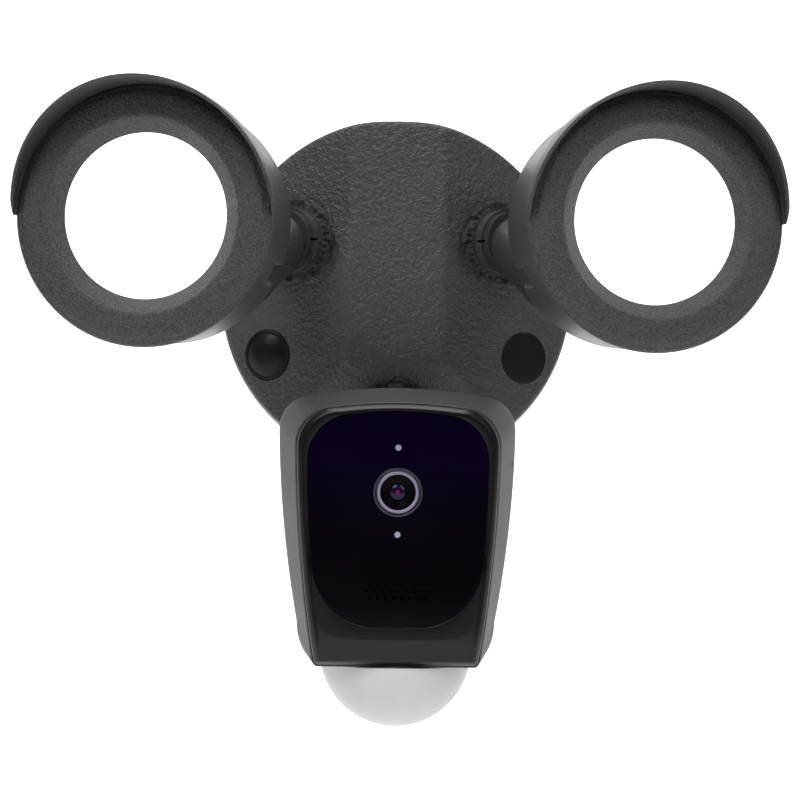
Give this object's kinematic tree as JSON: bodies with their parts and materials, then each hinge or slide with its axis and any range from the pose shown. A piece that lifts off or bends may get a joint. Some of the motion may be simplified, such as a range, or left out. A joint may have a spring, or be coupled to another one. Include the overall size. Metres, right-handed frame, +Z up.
{
  "type": "floodlight security camera",
  "caption": "Wall-mounted round housing with aimable hooded lamp heads and a ball-jointed security camera with a motion sensor dome below.",
  "frame": {"origin": "centre of the round housing on the wall plane, at the back face of the mounting plate", "axes": "+Z up, +X to the right seen from the front, -Y out of the wall towards the viewer"},
  "size_m": [0.2596, 0.1368, 0.2157],
  "materials": {
    "zinc_steel": "zinc plated sheet",
    "green_screw": "green zinc",
    "black_rubber": "foam and soft rubber",
    "housing_plastic": "leather grain moulding",
    "black_plastic": "fine moulding",
    "screw_steel": "plated",
    "green_board": "solder mask",
    "component_black": "moulded",
    "ivory_plastic": "moulded",
    "plug_rubber": "semi gloss",
    "arm_plastic": "satin",
    "pin_steel": "turned",
    "lamp_shell_plastic": "satin fine texture",
    "lamp_front_plastic": "fine spark texture",
    "lamp_lens": "opal diffuser",
    "reflector_white": "white",
    "led_board_white": "white solder mask",
    "led_phosphor": "phosphor",
    "aluminium_cast": "as cast",
    "camera_case_plastic": "satin",
    "camera_bezel_plastic": "semi gloss",
    "camera_glass": "dark violet tint",
    "lens_ring_metal": "polished dark ring",
    "lens_glass": "coated",
    "indicator_plastic": "light pipe",
    "frosted_dome": "frosted lens plastic",
    "sensor_can": "nickel can",
    "orange_plastic": "moulded"
  },
  "bodies": {
    "housing": {"mounting_plate": "zinc_steel", "ground_screw": "green_screw", "wall_gasket": "black_rubber", "housing_cover": "housing_plastic", "back_cover": "black_plastic", "back_cover_screws": "screw_steel", "cover_screws": "screw_steel", "wire_grommet": "black_rubber", "driver_board": "green_board", "driver_components": "component_black", "terminal_block": "ivory_plastic", "left_socket": "black_plastic", "right_socket": "black_plastic", "camera_socket": "black_plastic"},
    "camera_lock_ring": {"camera_lock_ring": "black_plastic"},
    "camera_ball": {"camera_ball": "arm_plastic", "camera_ball_pin": "pin_steel"},
    "camera": {"camera_stem": "arm_plastic", "camera_case": "camera_case_plastic", "camera_bezel": "camera_bezel_plastic", "camera_glass": "camera_glass", "lens_ring": "lens_ring_metal", "lens_barrel": "black_plastic", "lens_glass": "lens_glass", "indicator_windows": "indicator_plastic", "camera_board": "green_board", "image_sensor": "component_black", "speaker": "component_black", "microphone": "screw_steel", "dome_ring": "black_plastic", "motion_dome": "frosted_dome", "motion_sensor": "sensor_can"},
    "setup_button": {"setup_button": "orange_plastic"},
    "left_plug": {"left_plug": "plug_rubber"},
    "left_lock_ring": {"left_lock_ring": "black_plastic"},
    "left_arm": {"left_arm": "arm_plastic", "left_arm_nut": "screw_steel"},
    "left_head": {"left_hinge_pin": "pin_steel", "left_shell": "lamp_shell_plastic", "left_bezel": "lamp_front_plastic", "left_hood": "lamp_front_plastic", "left_lens": "lamp_lens", "left_reflector": "reflector_white", "left_led_board": "led_board_white", "left_leds": "led_phosphor", "left_heat_sink": "aluminium_cast"},
    "right_plug": {"right_plug": "plug_rubber"},
    "right_lock_ring": {"right_lock_ring": "black_plastic"},
    "right_arm": {"right_arm": "arm_plastic", "right_arm_nut": "screw_steel"},
    "right_head": {"right_hinge_pin": "pin_steel", "right_shell": "lamp_shell_plastic", "right_bezel": "lamp_front_plastic", "right_hood": "lamp_front_plastic", "right_lens": "lamp_lens", "right_reflector": "reflector_white", "right_led_board": "led_board_white", "right_leds": "led_phosphor", "right_heat_sink": "aluminium_cast"}
  },
  "joints": [
    {"name": "left_plug_pull", "type": "slide", "parent": "housing", "child": "left_plug", "axis": [-0.4695, -0.8829, 0], "range_m": [0, 0.012]},
    {"name": "left_lock_ring_turn", "type": "hinge", "parent": "housing", "child": "left_lock_ring", "pos_m": [-0.0355, -0.02127, 0.0188], "axis": [-0.4695, -0.8829, 0], "range_deg": [0, 60]},
    {"name": "left_arm_twist", "type": "hinge", "parent": "housing", "child": "left_arm", "pos_m": [-0.0355, -0.02127, 0.0188], "axis": [-0.4695, -0.8829, 0], "range_deg": [-60, 60]},
    {"name": "left_head_turn", "type": "hinge", "parent": "left_arm", "child": "left_head", "pos_m": [-0.06358, -0.0863, 0.0032], "axis": [0, 0, -1], "range_deg": [-15, 20]},
    {"name": "right_plug_pull", "type": "slide", "parent": "housing", "child": "right_plug", "axis": [0.4695, -0.8829, 0], "range_m": [0, 0.012]},
    {"name": "right_lock_ring_turn", "type": "hinge", "parent": "housing", "child": "right_lock_ring", "pos_m": [0.0355, -0.02127, 0.0188], "axis": [0.4695, -0.8829, 0], "range_deg": [0, 60]},
    {"name": "right_arm_twist", "type": "hinge", "parent": "housing", "child": "right_arm", "pos_m": [0.0355, -0.02127, 0.0188], "axis": [0.4695, -0.8829, 0], "range_deg": [-60, 60]},
    {"name": "right_head_turn", "type": "hinge", "parent": "right_arm", "child": "right_head", "pos_m": [0.06358, -0.0863, 0.0032], "axis": [0, 0, 1], "range_deg": [-15, 20]},
    {"name": "camera_lock_ring_turn", "type": "hinge", "parent": "housing", "child": "camera_lock_ring", "pos_m": [0, -0.0164, -0.0452], "axis": [0, -0.8988, -0.4384], "range_deg": [0, 60]},
    {"name": "camera_pan", "type": "hinge", "parent": "housing", "child": "camera_ball", "pos_m": [0, -0.0164, -0.0452], "axis": [0, 0, 1], "range_deg": [-15, 15]},
    {"name": "camera_tilt", "type": "hinge", "parent": "camera_ball", "child": "camera", "pos_m": [0, -0.0164, -0.0452], "axis": [1, 0, 0], "range_deg": [-5, 20]},
    {"name": "setup_button_press", "type": "slide", "parent": "camera", "child": "setup_button", "axis": [0, 0, -1], "range_m": [0, 0.001], "stiffness_N_per_m": 600, "springref_m": -0.001}
  ]
}
